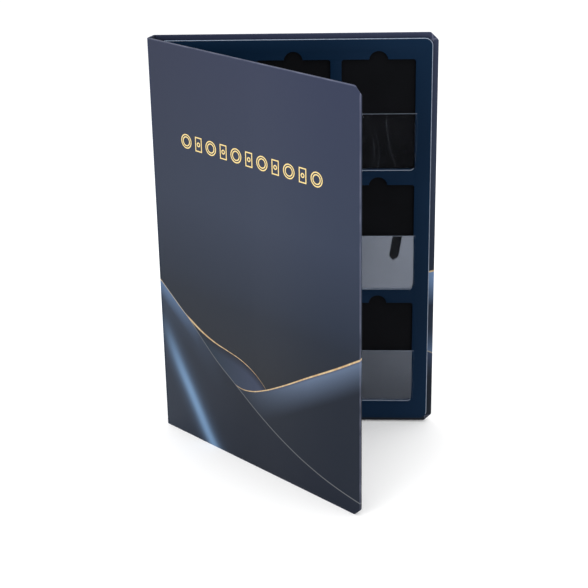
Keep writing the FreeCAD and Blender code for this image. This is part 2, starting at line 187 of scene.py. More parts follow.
def printed_line(along, outline, start, stop, low, high):
    """The height in mm of a smooth printed outline, for each distance along it."""
    share = add(tree, "ShaderNodeMapRange", along, float(start), float(stop))
    drawn = add(tree, "ShaderNodeFloatCurve", 1.0, share)
    shape = drawn.mapping.curves[0].points
    for _ in outline[2:]:
        shape.new(0.5, 0.5)
    for point, (x, y) in zip(shape, outline):
        point.location = ((x - start) / (stop - start), (y - low) / (high - low))
        point.handle_type = "AUTO"
    drawn.mapping.update()
    return add(tree, "ShaderNodeMath", drawn, high - low, low, operation="MULTIPLY_ADD")


def under(line):
    """1 below a printed line, and 0 above it, with its edge as soft as the screen print."""
    gap = add(tree, "ShaderNodeMath", line, rise, operation="SUBTRACT")
    return add(tree, "ShaderNodeMath", gap, 1 / PRINT_EDGE, 0.5, operation="MULTIPLY_ADD", use_clamp=True)


def fading(line, reach, power):
    """1 at a printed line, falling to 0 at a distance of reach below it."""
    gap = add(tree, "ShaderNodeMath", line, rise, operation="SUBTRACT")
    near = add(tree, "ShaderNodeMath", gap, -1 / reach, 1.0, operation="MULTIPLY_ADD", use_clamp=True)
    return add(tree, "ShaderNodeMath", near, power, operation="POWER")


def hairline(line, width):
    """1 along a printed line of that half width, and 0 away from it."""
    gap = add(tree, "ShaderNodeMath", line, rise, operation="SUBTRACT")
    away = add(tree, "ShaderNodeMath", gap, operation="ABSOLUTE")
    share = add(tree, "ShaderNodeMath", away, width, operation="DIVIDE")
    return add(tree, "ShaderNodeMath", 1.6, share, operation="SUBTRACT", use_clamp=True)


def gleam(middle, width, low, high):
    """A soft highlight along a fold, which fades out between the heights low and high."""
    away = add(tree, "ShaderNodeMath", run, middle, operation="SUBTRACT")
    share = add(tree, "ShaderNodeMath", away, width, operation="DIVIDE")
    square = add(tree, "ShaderNodeMath", share, share, operation="MULTIPLY")
    bell = add(tree, "ShaderNodeMath", add(tree, "ShaderNodeMath", square, -1.0, operation="MULTIPLY"),
               operation="EXPONENT")
    fade = add(tree, "ShaderNodeMapRange", rise, float(high), float(low), interpolation_type="SMOOTHSTEP")
    return add(tree, "ShaderNodeMath", bell, fade, operation="MULTIPLY")


def between(start, stop, along=run, first=0.0, last=1.0):
    """Changes evenly from first to last between two distances."""
    return add(tree, "ShaderNodeMapRange", along, float(start), float(stop), first, last)


def inked(below, ink, *shares):
    """Prints an ink over what is below it, by the product of its shares of the surface."""
    share = shares[0]
    for other in shares[1:]:
        share = add(tree, "ShaderNodeMath", share, other, operation="MULTIPLY")
    under_ink, over = (linear(colour) if isinstance(colour, str) else colour for colour in (below, ink))
    return add(tree, "ShaderNodeMix", share, data_type="RGBA", sockets={6: under_ink, 7: over}).outputs[2]


front_hem, petal_hem, right_hem, back_hem = (
    printed_line(run, outline, PRINT_LEFT, PRINT_RIGHT, PRINT_BASE, PRINT_TOP)
    for outline in (FRONT_HEM, PETAL_HEM, RIGHT_HEM, BACK_HEM))
front_gleam, back_gleam = (
    printed_line(rise, outline, PRINT_BASE, PRINT_TOP, PRINT_LEFT, PRINT_RIGHT)
    for outline in (FRONT_GLEAM, BACK_GLEAM))

# The cloth's own faint streaks run down its folds, about 6 mm apart.
CLOTH_STREAK = 6.25
streak_place = add(tree, "ShaderNodeCombineXYZ",
                   add(tree, "ShaderNodeMath", rise, 0.42, run, operation="MULTIPLY_ADD"),
                   add(tree, "ShaderNodeMath", rise, 0.04, operation="MULTIPLY"))
streaks = add(tree, "ShaderNodeTexNoise", sockets={
    "Vector": streak_place, "Scale": 1 / CLOTH_STREAK, "Detail": 3.0, "Roughness": 0.45})

# Ground: dusk blue, which darkens to charcoal towards the cloth.
ground = inked("#222428", "#212937", between(60, 150, rise))
ground = inked(ground, "#31394b", between(130, 210, rise))
ground = inked(ground, "#32384d", between(220, 330, rise))

# Gilt: a pale gold screen ink, uneven along its hems.
GILT_PATCH = 2.86
uneven = add(tree, "ShaderNodeTexNoise", sockets={
    "Vector": streak_place, "Scale": 1 / GILT_PATCH, "Detail": 2.0})
gilt = inked("#9a6a38", "#ead6ab", uneven)

# Petal: the small fold that shows between the others, with a gilt hem that thins to the right.
petal = inked("#202d3b", "#363e53", between(55, 112))
petal = inked(petal, "#1b1f2b", fading(petal_hem, 8, 1.0))
art = inked(ground, petal, under(petal_hem), between(20, 25))
petal_line = hairline(petal_hem, between(40, 80, first=0.85, last=0.26))
art = inked(art, gilt, petal_line, between(120, 98, first=0.35), between(27, 34))

# Drape: the fold that rises to the fore edge, lit just under its gilt hem.
drape = inked("#1c222d", "#5d6c84", fading(right_hem, 27, 1.4), between(98, 165, first=0.1))
drape = inked(drape, "#3b3f50", fading(right_hem, 2.6, 1.0), between(100, 150))
art = inked(art, drape, under(right_hem), between(70, 80))
drape_line = hairline(right_hem, between(90, 190, first=0.3, last=0.66))
art = inked(art, gilt, drape_line, between(78, 104, first=0.3))

# Near fold: the large one that runs on round the spine, with two soft gleams down it.
near_fold = inked("#1a202c", "#232c3b", between(95, 0))
near_fold = inked(near_fold, "#415067", fading(front_hem, 30, 1.3), between(72, 2))
near_fold = inked(near_fold, "#6581a7", fading(front_hem, 15, 1.0), between(46, 6))
near_fold = inked(near_fold, "#29313e", streaks, between(60, 0, first=0.0, last=0.6))
near_fold = inked(near_fold, "#43566f", gleam(front_gleam, 11.0, 50, 125), between(-4, 8))
near_fold = inked(near_fold, "#6e8eb1", gleam(front_gleam, 5.7, 40, 108))
near_fold = inked(near_fold, "#55759b", gleam(back_gleam, 13.0, 60, 185), between(0, -30))
near_fold = inked(near_fold, "#6d87ab", fading(front_hem, 30, 1.0), between(-185, -215))
near_fold = inked(near_fold, "#51647f", fading(back_hem, -24, 1.6), between(-80, -170))
art = inked(art, near_fold, under(front_hem))

# Its hem is a fine pale line on the front, which turns gilt near the fold and on the back.
front_line = inked("#6d7073", "#c9bda6", between(42, 26))
art = inked(art, front_line, hairline(front_hem, 0.36), 0.8)
art = inked(art, gilt, hairline(front_hem, 0.6), between(8, -12))

# Far fold: the lowest one, on the back cover only.
far_fold = inked("#1e232c", "#35425a", fading(back_hem, 26, 1.5))
art = inked(art, far_fold, under(back_hem))
art = inked(art, "#8f897d", hairline(back_hem, 0.45))


# Where the paper is drawn round the boards' edges the print stretches pale and rubs there, and the
# same pale colour is also a painted highlight along those edges.
def off_edge(place, middle, half_length):
    """Distance in mm from the board edge that lies half_length from the middle."""
    away = add(tree, "ShaderNodeMath", place, middle, operation="SUBTRACT")
    away = add(tree, "ShaderNodeMath", away, operation="ABSOLUTE")
    away = add(tree, "ShaderNodeMath", away, half_length, operation="SUBTRACT")
    return add(tree, "ShaderNodeMath", away, operation="ABSOLUTE")


to_edge = add(tree, "ShaderNodeMath", off_edge(rise, COVER_HEIGHT / 2, COVER_HEIGHT / 2),
              off_edge(run, -SPINE_WIDTH / 2, COVER_WIDTH + SPINE_WIDTH / 2), operation="MINIMUM")
EDGE_PALE_PATCH = 16.7
edge_pale_patches = add(tree, "ShaderNodeTexNoise", sockets={
    "Vector": uv_place, "Scale": 1 / (EDGE_PALE_PATCH * MM), "Detail": 5.0})
# Pale towards the boards' edges: rubbed, stretched print and a painted edge highlight together.
pale_edge_and_highlight = add(tree, "ShaderNodeMapRange", to_edge, 0.8, 0.1)
rub_and_highlight_share = add(tree, "ShaderNodeMapRange", edge_pale_patches, 0.35, 0.75, 0.12, 0.5)
art = inked(art, "#8d90a6", pale_edge_and_highlight, rub_and_highlight_share)

# Matt lamination film: an even satin sheen over the paper's tooth, which is drawn coarser than
# it really is, at 0.4 mm, so that it shows. The sheet also has slight waves from the glue.
PAPER_TOOTH = 0.4
GLUE_WAVE = 45.5
tooth = add(tree, "ShaderNodeTexNoise", sockets={
    "Vector": uv_place, "Scale": 1 / (PAPER_TOOTH * MM), "Detail": 3.0})
waves = add(tree, "ShaderNodeTexNoise", sockets={
    "Vector": uv_place, "Scale": 1 / (GLUE_WAVE * MM), "Detail": 2.0})
satin = add(tree, "ShaderNodeMapRange", tooth, 0.3, 0.7, 0.44, 0.54)
fine = add(tree, "ShaderNodeBump", sockets={"Height": tooth, "Strength": 0.12, "Distance": 0.03 * MM})
broad = add(tree, "ShaderNodeBump", sockets={
    "Height": waves, "Strength": 0.35, "Distance": 0.5 * MM, "Normal": fine})
wrap_finish = add(tree, "ShaderNodeBsdfPrincipled", sockets={
    "Base Color": art, "Roughness": satin, "Normal": broad, "IOR": 1.48,
    "Specular IOR Level": 0.08})
add(tree, "ShaderNodeOutputMaterial", wrap_finish)


def round_edge(reach, depth):
    """A turned edge as (inset, depth, run of paper) points, from the face round to the turn-in."""
    corners = [(FACE_MARGIN, 0.0)]
    for middle, first in ((EDGE_ROUND, 90), (depth - EDGE_ROUND, 180)):
        for step in range(EDGE_STEPS + 1):
            turn = math.radians(first + 90 * step / EDGE_STEPS)
            corners.append((EDGE_ROUND * (1 + math.cos(turn)), middle - EDGE_ROUND * math.sin(turn)))
    corners.append((reach, depth))
    paper = [0.0]
    for one, two in zip(corners, corners[1:]):
        paper.append(paper[-1] + math.dist(one, two))
    return [(*corner, length) for corner, length in zip(corners, paper)]


def make_piece(name, place, points, faces, material, printed=None):
    """A mesh from points in a board's own millimetres, with its place on the print as a UV map."""
    mesh = bpy.data.meshes.new(name)
    mesh.from_pydata([place @ Vector(point) for point in points], [], faces)
    if place.determinant() < 0:
        mesh.flip_normals()
    if printed:
        print_map = mesh.uv_layers.new(name="print")
        for loop in mesh.loops:
            print_map.data[loop.index].uv = Vector(printed[loop.vertex_index]) * MM
    mesh.polygons.foreach_set("use_smooth", [True] * len(mesh.polygons))
    mesh.set_sharp_from_angle(angle=math.radians(SHARP_ANGLE))
    mesh.materials.append(material)
    piece = bpy.data.objects.new(name, mesh)
    bpy.context.scene.collection.objects.link(piece)
    return piece


def grid_faces(rows, columns):
    """The faces of a grid of points, which run row after row."""
    return [(row * columns + column, row * columns + column + 1,
             (row + 1) * columns + column + 1, (row + 1) * columns + column)
            for row in range(rows - 1) for column in range(columns - 1)]


def thicken(piece, thickness):
    """Gives a sheet its thickness, on the side away from its printed or outer face."""
    wall = piece.modifiers.new("paper thickness", "SOLIDIFY")
    wall.thickness = thickness * MM
    wall.offset = -1
    wall.use_even_offset = True


def straight(x, z, out):
    """A point on a straight edge: its place, the ways out and of the mitre there, and its turn-in."""
    return Vector((x, z)), Vector(out), Vector(out), TURN_IN


def cut_corner(x, z, first):
    """The same for a rounded corner, where the edge turns by 45 degrees from the angle first."""
    half_turn = math.radians(45 / 2)
    middle = math.radians(first) + half_turn
    mitre = Vector((math.cos(middle), math.sin(middle))) / math.cos(half_turn)
    turns = [math.radians(first + 45 * step / CORNER_STEPS) for step in range(CORNER_STEPS + 1)]
    return [(Vector((x, z)), Vector((math.cos(turn), math.sin(turn))), mitre, CORNER_FLAP)
            for turn in turns]


def set_in(point, out, mitre, inset):
    """Where an edge point comes when the edge is set in, with its corner bent ever tighter."""
    bend = max(CORNER_ROUND - inset, LEAST_BEND)
    return point - mitre * (inset + bend) + out * bend


def wrapped_cover(name, place, print_start, print_way):
    """The wrap of one cover, from its fold round the head, fore edge and tail to the turn-ins."""
    width, height, cut = COVER_WIDTH, COVER_HEIGHT, CORNER_CUT
    lower = [straight(HINGE_REACH, 0, (0, -1)), straight(width - cut - TURN_IN, 0, (0, -1)),
             *cut_corner(width - cut, 0, -90), *cut_corner(width, cut, -45),
             straight(width, cut + TURN_IN, (1, 0))]
    mirror = Vector((1, -1))
    upper = [(Vector((0, height)) + point * mirror, out * mirror, mitre * mirror, reach)
             for point, out, mitre, reach in lower[::-1]]
    edge = lower + upper
    points, printed = [], []
    for inset, depth, paper in round_edge(TURN_IN, COVER_DEPTH):
        for point, out, mitre, reach in edge:
            inward = min(inset, reach)
            points.append((*set_in(point, out, mitre, inward), depth))
            flat = max(FACE_MARGIN - paper, EDGE_ROUND)
            beyond = max(paper - (FACE_MARGIN - EDGE_ROUND) - (inset - inward), 0)
            spread = set_in(point, out, mitre, flat) + out * beyond
            printed.append((print_start + print_way * spread.x, spread.y))
    rows = len(points) // len(edge)
    faces = [tuple(reversed(range(len(edge))))] + grid_faces(rows, len(edge))
    return make_piece(name, place, points, faces, wrap_paper, printed)


for side, print_start, print_way in (("back", -SPINE_WIDTH, -1), ("front", 0.0, 1)):
    wrap = wrapped_cover(f"{side}_cover_wrap", PLACES[side], print_start, print_way)
    thicken(wrap, WRAP_THICK)
    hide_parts(f"{side}_wrap")
    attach(wrap, BODIES[side])

# ---------------------------------------------------------------------------------------------
# Spine wrap: the same printed sheet where it crosses the spine board, which it is glued to. It
# turns in at the head and the tail, and runs on into the folds at both sides.
spine_columns = (HINGE_REACH, SPINE_WIDTH / 2, SPINE_WIDTH - HINGE_REACH)
points, printed = [], []
for inset, depth, paper in round_edge(TURN_IN, COVER_DEPTH)[::-1]:
    points += [(x, inset, depth) for x in spine_columns]
    printed += [(x - SPINE_WIDTH, FACE_MARGIN - paper) for x in spine_columns]
for point, place in list(zip(points, printed))[::-1]:
    points.append((SPINE_WIDTH - point[0], COVER_HEIGHT - point[1], point[2]))
    printed.append((-SPINE_WIDTH - place[0], COVER_HEIGHT - place[1]))
faces = [face[::-1] for face in grid_faces(len(points) // len(spine_columns), len(spine_columns))]
spine_wrap = make_piece("spine_cover_wrap", PLACES["spine"], points, faces, wrap_paper, printed)
thicken(spine_wrap, WRAP_THICK)
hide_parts("spine_wrap")
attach(spine_wrap, "spine")

# ---------------------------------------------------------------------------------------------
# Fold strips: the wrap alone, where it bends between two boards. It is creased by pressing, and
# at the head and tail it is doubled over for the length of the turn-ins.
CREASE_RADIUS = 1.2
DOUBLED_DEPTH = 0.85
FOLD_STEPS = 8
TAIL_STEPS = 6


def fold_section(first, second, depth, centre_depth):
    """Points across a fold at one depth, from one board's edge round the crease to the other's."""
    fold = first["fold"]
    half = math.acos(first["along"].dot(second["along"])) / 2
    centre = fold + first["along"] * centre_depth / math.tan(half) + first["inward"] * centre_depth
    bend = [centre - first["inward"].slerp(second["inward"], step / FOLD_STEPS) * (centre_depth - depth)
            for step in range(FOLD_STEPS + 1)]
    ends = [fold + board["along"] * HINGE_REACH + board["inward"] * depth for board in (first, second)]
    return [ends[0], *bend, ends[1]]


def board_way(side, fold, away):
    """How a board leaves a fold: its direction away from the fold, and its inward direction."""
    turned = PLACES[side].to_3x3().normalized()
    return {"fold": fold, "along": turned.col[0] * away, "inward": turned.col[2]}


def fold_sheet(name, first, second, levels, centre_depth, material, print_middle=0.0):
    """A sheet across a fold, whose levels are (height, depth, height on the print) from tail to head."""
    points, printed = [], []
    for height, depth, print_height in levels:
        section = fold_section(first, second, depth, centre_depth)
        for number, point in enumerate(section):
            points.append(point + Vector((0, 0, height)))
            share = 2 * number / (len(section) - 1) - 1
            printed.append((print_middle + share * HINGE_REACH, print_height))
    columns = FOLD_STEPS + 3
    return make_piece(name, Matrix.Scale(MM, 4), points, grid_faces(len(levels), columns), material, printed)


ways = {
    "back_fold": (board_way("back", BACK_FOLD, 1), board_way("spine", BACK_FOLD, 1)),
    "front_fold": (board_way("spine", FRONT_FOLD, -1), board_way("front", FRONT_FOLD, 1)),
}
doubled = DOUBLED_DEPTH / 2
tail = [(TURN_IN, DOUBLED_DEPTH, -TURN_IN)]
for step in range(TAIL_STEPS + 1):
    share = step / TAIL_STEPS
    turn = math.pi * share
    tail.append((doubled * (1 - math.sin(turn)), doubled * (1 + math.cos(turn)), -doubled * (1 - share)))
head = [(COVER_HEIGHT - height, depth, COVER_HEIGHT - print_height)
        for height, depth, print_height in tail[::-1]]
for fold_name, middle, bodies in (("back_fold", -SPINE_WIDTH, ("back_cover", "spine")),
                                  ("front_fold", 0.0, ("spine", "front_cover"))):
    first, second = ways[fold_name]
    strip = fold_sheet(f"{fold_name}_paper", first, second, tail + head, CREASE_RADIUS, wrap_paper, middle)
    thicken(strip, WRAP_THICK)
    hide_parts(f"{fold_name}_strip")
    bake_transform(strip)

# ---------------------------------------------------------------------------------------------
# Linings: strips of dyed endpaper glued over the turn-ins beside each fold and down the spine.
# Uncoated and slightly ribbed, they hide the boards' edges when the album lies open.
LINING_RIB = 0.9
PULP_FLOC = 1.11
LINING_DEPTH = 2.0
LINING_ROUND = 1.1
LINING_THICK = 0.2
lining_paper, tree = blank_material("endpaper_dyed_uncoated")
object_place = add(tree, "ShaderNodeTexCoord").outputs["Object"]
height_only = add(tree, "ShaderNodeSeparateXYZ", object_place)
ribs = add(tree, "ShaderNodeMath", add(tree, "ShaderNodeMath", height_only.outputs[2],
                                       2 * math.pi / (LINING_RIB * MM), operation="MULTIPLY"),
           operation="SINE")
pulp = add(tree, "ShaderNodeTexNoise", sockets={
    "Vector": object_place, "Scale": 1 / (PULP_FLOC * MM), "Detail": 4.0})
grain = add(tree, "ShaderNodeMath", ribs, 0.25, pulp, operation="MULTIPLY_ADD")
shade = add(tree, "ShaderNodeMix", pulp, data_type="RGBA",
            sockets={6: linear("#10151f"), 7: linear("#1c2433")})
relief = add(tree, "ShaderNodeBump", sockets={"Height": grain, "Strength": 0.5, "Distance": 0.05 * MM})
lining_finish = add(tree, "ShaderNodeBsdfPrincipled", sockets={
    "Base Color": shade.outputs[2], "Roughness": 0.85, "Normal": relief, "IOR": 1.46})
add(tree, "ShaderNodeOutputMaterial", lining_finish)
for side in BOARDS:
    finish_node(f"{side}_lining", lining_paper)
low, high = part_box("back_lining")
lining_levels = [(height, LINING_DEPTH, height) for height in (low.z / MM, high.z / MM)]
for fold_name, bodies in (("back_fold", ("back_cover", "spine")), ("front_fold", ("spine", "front_cover"))):
    first, second = ways[fold_name]
    bend = fold_sheet(f"{fold_name}_lining", first, second, lining_levels,
                      LINING_DEPTH + LINING_ROUND, lining_paper)
    bend.data.flip_normals()
    thicken(bend, LINING_THICK)
    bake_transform(bend)

# ---------------------------------------------------------------------------------------------
# Pocket liners: black calendered vinyl sheets, 0.5 mm thick, glued to the inside of each cover.
# They are the floors of the pockets, with a fine leather-like emboss that keeps them dark.
LINER_GRAIN = 1.1
LINER_CLOUD = 28.6
black_vinyl, tree = blank_material("vinyl_calendered_black")
object_place = add(tree, "ShaderNodeTexCoord").outputs["Object"]
cells = add(tree, "ShaderNodeTexVoronoi", sockets={
    "Vector": object_place, "Scale": 1 / (LINER_GRAIN * MM)}, feature="SMOOTH_F1")
clouds = add(tree, "ShaderNodeTexNoise", sockets={
    "Vector": object_place, "Scale": 1 / (LINER_CLOUD * MM), "Detail": 3.0})
black = add(tree, "ShaderNodeMix", clouds, data_type="RGBA",
            sockets={6: linear("#07080a"), 7: linear("#0d0e12")})
relief = add(tree, "ShaderNodeBump", sockets={"Height": cells, "Strength": 0.3, "Distance": 0.05 * MM})
liner_finish = add(tree, "ShaderNodeBsdfPrincipled", sockets={
    "Base Color": black.outputs[2], "Roughness": 0.78, "Normal": relief,
    "Specular IOR Level": 0.06})
add(tree, "ShaderNodeOutputMaterial", liner_finish)
COVERS = ("back", "front")
for side in COVERS:
    finish_node(f"{side}_pocket_liner", black_vinyl)

# ---------------------------------------------------------------------------------------------
# Pocket frames: a 2.2 mm sheet of navy foamed vinyl on each cover, die cut with nine windows.
# Each window has a thumb notch in its top edge. The cut edges are slightly rounded.
PANEL_RADIUS = 6.0
FRAME_ROUND = 0.3
POCKET_RADIUS = 2.0
POCKET_HEIGHT = 87.8
NOTCH_RADIUS = 7.2
NOTCH_DROP = 0.7
FILM_LAP = 1.8
COLUMNS = ROWS = 3
MERGE_DISTANCE = 0.002


def own_box(node):
    """A back cover part's box in the cover's own millimetres: along it, up it and into the album."""
    low, high = (PLACES["back"].inverted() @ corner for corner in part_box(node))
    return ([min(pair) for pair in zip(low, high)], [max(pair) for pair in zip(low, high)])


def film_box(row, column):
    return own_box(f"back_film_row{row}_col{column}")


def arc(centre, radius, first, last, steps=8):
    """Points on an arc, between two angles in degrees."""
    turns = [math.radians(first + (last - first) * step / steps) for step in range(steps + 1)]
    return [(centre[0] + radius * math.cos(turn), centre[1] + radius * math.sin(turn)) for turn in turns]


def rounded_box(left, base, right, top, radius):
    return (arc((right - radius, base + radius), radius, -90, 0)
            + arc((right - radius, top - radius), radius, 0, 90)
            + arc((left + radius, top - radius), radius, 90, 180)
            + arc((left + radius, base + radius), radius, 180, 270))


def window_outline(left, base, right, top):
    """A window's outline, whose top edge opens into the thumb notch."""
    middle = (left + right) / 2
    first = math.degrees(math.asin(NOTCH_DROP / NOTCH_RADIUS))
    return (arc((right - POCKET_RADIUS, base + POCKET_RADIUS), POCKET_RADIUS, -90, 0, 5)
            + arc((right - POCKET_RADIUS, top - POCKET_RADIUS), POCKET_RADIUS, 0, 90, 5)
            + arc((middle, top - NOTCH_DROP), NOTCH_RADIUS, first, 180 - first, 20)
            + arc((left + POCKET_RADIUS, top - POCKET_RADIUS), POCKET_RADIUS, 90, 180, 5)
            + arc((left + POCKET_RADIUS, base + POCKET_RADIUS), POCKET_RADIUS, 180, 270, 5))


def die_cut(name, outlines, thickness, rounding):
    """A flat sheet cut to its outlines, holes included, as one closed mesh lying on z = 0."""
    drawn = bpy.data.curves.new(name, "CURVE")
    drawn.dimensions = "2D"
    drawn.fill_mode = "BOTH"
    drawn.extrude = thickness / 2 - rounding
    drawn.bevel_depth = rounding
    drawn.bevel_resolution = 2
    drawn.offset = -rounding
    for outline in outlines:
        spline = drawn.splines.new("POLY")
        spline.points.add(len(outline) - 1)
        for point, (x, y) in zip(spline.points, outline):
            point.co = (x, y, 0, 1)
        spline.use_cyclic_u = True
    cutter = bpy.data.objects.new(name, drawn)
    bpy.context.scene.collection.objects.link(cutter)
    bpy.context.view_layer.update()
    mesh = bpy.data.meshes.new_from_object(cutter.evaluated_get(bpy.context.evaluated_depsgraph_get()))
    bpy.data.objects.remove(cutter)
    bpy.data.curves.remove(drawn)
    mesh.transform(Matrix.Translation((0, 0, thickness / 2)))
    return mesh


def settle(mesh, name, place, material, smooth=35):
    """Joins a mesh's doubled points, puts it in its place and makes it a piece."""
    mesh.transform(place)
    loose = bmesh.new()
    loose.from_mesh(mesh)
    bmesh.ops.remove_doubles(loose, verts=loose.verts, dist=MERGE_DISTANCE * MM)
    bmesh.ops.recalc_face_normals(loose, faces=loose.faces)
    loose.to_mesh(mesh)
    loose.free()
    mesh.polygons.foreach_set("use_smooth", [True] * len(mesh.polygons))
    mesh.set_sharp_from_angle(angle=math.radians(smooth))
    mesh.materials.clear()
    mesh.materials.append(material)
    piece = bpy.data.objects.new(name, mesh)
    bpy.context.scene.collection.objects.link(piece)
    return piece


# Foamed vinyl sheet, die cut: even and eggshell dull, with a fine pebbled skin.
SKIN_GRAIN = 0.7
DYE_DRIFT = 111.0
navy_foam, tree = blank_material("vinyl_foam_sheet_die_cut_navy")
object_place = add(tree, "ShaderNodeTexCoord").outputs["Object"]
skin = add(tree, "ShaderNodeTexNoise", sockets={
    "Vector": object_place, "Scale": 1 / (SKIN_GRAIN * MM), "Detail": 4.0})
drift = add(tree, "ShaderNodeTexNoise", sockets={
    "Vector": object_place, "Scale": 1 / (DYE_DRIFT * MM), "Detail": 2.0})
navy = add(tree, "ShaderNodeMix", drift, data_type="RGBA",
           sockets={6: linear("#031629"), 7: linear("#0e263f")})
relief = add(tree, "ShaderNodeBump", sockets={"Height": skin, "Strength": 0.35, "Distance": 0.05 * MM})
eggshell = add(tree, "ShaderNodeMapRange", skin, 0.3, 0.7, 0.5, 0.62)
frame_finish = add(tree, "ShaderNodeBsdfPrincipled", sockets={
    "Base Color": navy.outputs[2], "Roughness": eggshell, "Normal": relief,
    "Specular IOR Level": 0.05})
add(tree, "ShaderNodeOutputMaterial", frame_finish)

panel_low, panel_high = own_box("back_pocket_frame")
outlines = [rounded_box(panel_low[0], panel_low[1], panel_high[0], panel_high[1], PANEL_RADIUS)]
for row in range(1, ROWS + 1):
    for column in range(1, COLUMNS + 1):
        film_low, film_high = film_box(row, column)
        left, base = film_low[0] + FILM_LAP, film_low[1] + FILM_LAP
        outlines.append(window_outline(left, base, film_high[0] - FILM_LAP, base + POCKET_HEIGHT))
for side in COVERS:
    sheet = die_cut(f"{side}_window_frame", outlines, panel_high[2] - panel_low[2], FRAME_ROUND)
    lifted = PLACES[side] @ Matrix.Translation((0, 0, panel_low[2]))
    window_frame = settle(sheet, f"{side}_window_frame", lifted, navy_foam)
    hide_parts(f"{side}_pocket_frame")
    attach(window_frame, BODIES[side])

# ---------------------------------------------------------------------------------------------
# Weld beads: a pale raised bead of clear vinyl runs over the panel's head and down both its sides,
# where the rim catches the light, and is left off the tail, where the rim is in shade. Its pale colour
# is partly a painted highlight. Finer pale beads run along the foot and the free edge of each film,
# and stand in for the highlights along those edges.
BEAD_RADIUS = 0.32
BEAD_INSET = 0.3
BEAD_LIFT = 4.5
SEAM_RADIUS = 0.26
SEAM_INSET = 1.1
SEAM_RISE = 1.5
SEAM_END = 2.1
SEAM_SIDE = 0.3
LIP_RADIUS = 0.12
FILM_CORNER = 4.0
COLUMN_PITCH = film_box(1, 2)[0][0] - film_box(1, 1)[0][0]
ROW_PITCH = film_box(1, 1)[0][1] - film_box(2, 1)[0][1]

# Clear vinyl, squeezed and chilled in the weld: pale blue-grey and glossy, with fine bubbles. Its
# pale colour is partly a painted highlight of the rims and film edges that the beads run along.
WELD_BUBBLE = 2.38
weld_vinyl_and_highlight, tree = blank_material("vinyl_clear_welded_bead_painted_highlight")
object_place = add(tree, "ShaderNodeTexCoord").outputs["Object"]
bubbles = add(tree, "ShaderNodeTexNoise", sockets={
    "Vector": object_place, "Scale": 1 / (WELD_BUBBLE * MM), "Detail": 3.0})
pale_bead_and_highlight = add(tree, "ShaderNodeMix", bubbles, data_type="RGBA",
           sockets={6: linear("#687489"), 7: linear("#9ba7ba")})
relief = add(tree, "ShaderNodeBump", sockets={"Height": bubbles, "Strength": 0.3, "Distance": 0.1 * MM})
weld_finish = add(tree, "ShaderNodeBsdfPrincipled", sockets={
    "Base Color": pale_bead_and_highlight.outputs[2], "Roughness": 0.22, "Normal": relief, "IOR": 1.53})
add(tree, "ShaderNodeOutputMaterial", weld_finish)

bead_tree = bpy.data.node_groups.new("weld_bead_along_path", "GeometryNodeTree")
bead_tree.is_modifier = True
bead_tree.interface.new_socket("Path", in_out="INPUT", socket_type="NodeSocketGeometry")
bead_inputs = {}
for label, kind in (("Bead radius", "NodeSocketFloat"), ("Columns", "NodeSocketInt"),
                    ("Rows", "NodeSocketInt"), ("Column pitch", "NodeSocketFloat"),
                    ("Row pitch", "NodeSocketFloat")):
    bead_inputs[label] = bead_tree.interface.new_socket(label, in_out="INPUT", socket_type=kind).identifier
bead_tree.interface.new_socket("Beads", in_out="OUTPUT", socket_type="NodeSocketGeometry")
given = add(bead_tree, "NodeGroupInput").outputs
route = add(bead_tree, "GeometryNodeMeshToCurve", given["Path"])
section = add(bead_tree, "GeometryNodeCurvePrimitiveCircle", sockets={
    "Resolution": 8, "Radius": given["Bead radius"]})
bead = add(bead_tree, "GeometryNodeCurveToMesh", route, section, sockets={"Fill Caps": True})
repeated = bead
for count, pitch, way in (("Columns", "Column pitch", 0), ("Rows", "Row pitch", 1)):
    offset = add(bead_tree, "ShaderNodeCombineXYZ", sockets={way: given[pitch]})
    row_points = add(bead_tree, "GeometryNodeMeshLine", sockets={"Count": given[count], "Offset": offset})
    repeated = add(bead_tree, "GeometryNodeInstanceOnPoints", row_points, sockets={"Instance": repeated})
solid = add(bead_tree, "GeometryNodeRealizeInstances", repeated)
faced = add(bead_tree, "GeometryNodeSetMaterial", solid, sockets={"Material": weld_vinyl_and_highlight})
add(bead_tree, "NodeGroupOutput", faced)


def beads(path, radius, columns, rows):
    """Beads along a path in a cover's own millimetres, repeated over the windows, as a plain mesh."""
    mesh = bpy.data.meshes.new("path")
    mesh.from_pydata(path, [(first, first + 1) for first in range(len(path) - 1)], [])
    carrier = bpy.data.objects.new("path", mesh)
    bpy.context.scene.collection.objects.link(carrier)
    sweep = carrier.modifiers.new("beads", "NODES")
    sweep.node_group = bead_tree
    for label, value in (("Bead radius", radius), ("Columns", columns), ("Rows", rows),
                         ("Column pitch", COLUMN_PITCH), ("Row pitch", ROW_PITCH)):
        sweep[bead_inputs[label]] = value
    bpy.context.view_layer.update()
    made = bpy.data.meshes.new_from_object(
        carrier.evaluated_get(bpy.context.evaluated_depsgraph_get()))
    bpy.data.objects.remove(carrier)
    return made


def joined(meshes):
    """Several meshes as one."""
    both = bmesh.new()
    for mesh in meshes:
        both.from_mesh(mesh)
    whole = bpy.data.meshes.new("joined")
    both.to_mesh(whole)
    both.free()
    return whole


film_low, film_high = film_box(ROWS, 1)
left, right = film_low[0] + SEAM_SIDE, film_high[0] - SEAM_SIDE
base, top = film_low[1] + SEAM_INSET, film_high[1]
seam_depth = film_low[2] + SEAM_RADIUS / 2
seam_path = [(left + SEAM_END, base + SEAM_RISE, seam_depth), (left + FILM_CORNER, base, seam_depth),
             (right - FILM_CORNER, base, seam_depth), (right - SEAM_END, base + SEAM_RISE, seam_depth)]
lip_path = [(left, top, film_high[2] - LIP_RADIUS), (right, top, film_high[2] - LIP_RADIUS)]
panel_rim = rounded_box(panel_low[0] + BEAD_INSET, panel_low[1] + BEAD_INSET, panel_high[0] - BEAD_INSET,
                        panel_high[1] - BEAD_INSET, PANEL_RADIUS - BEAD_INSET)
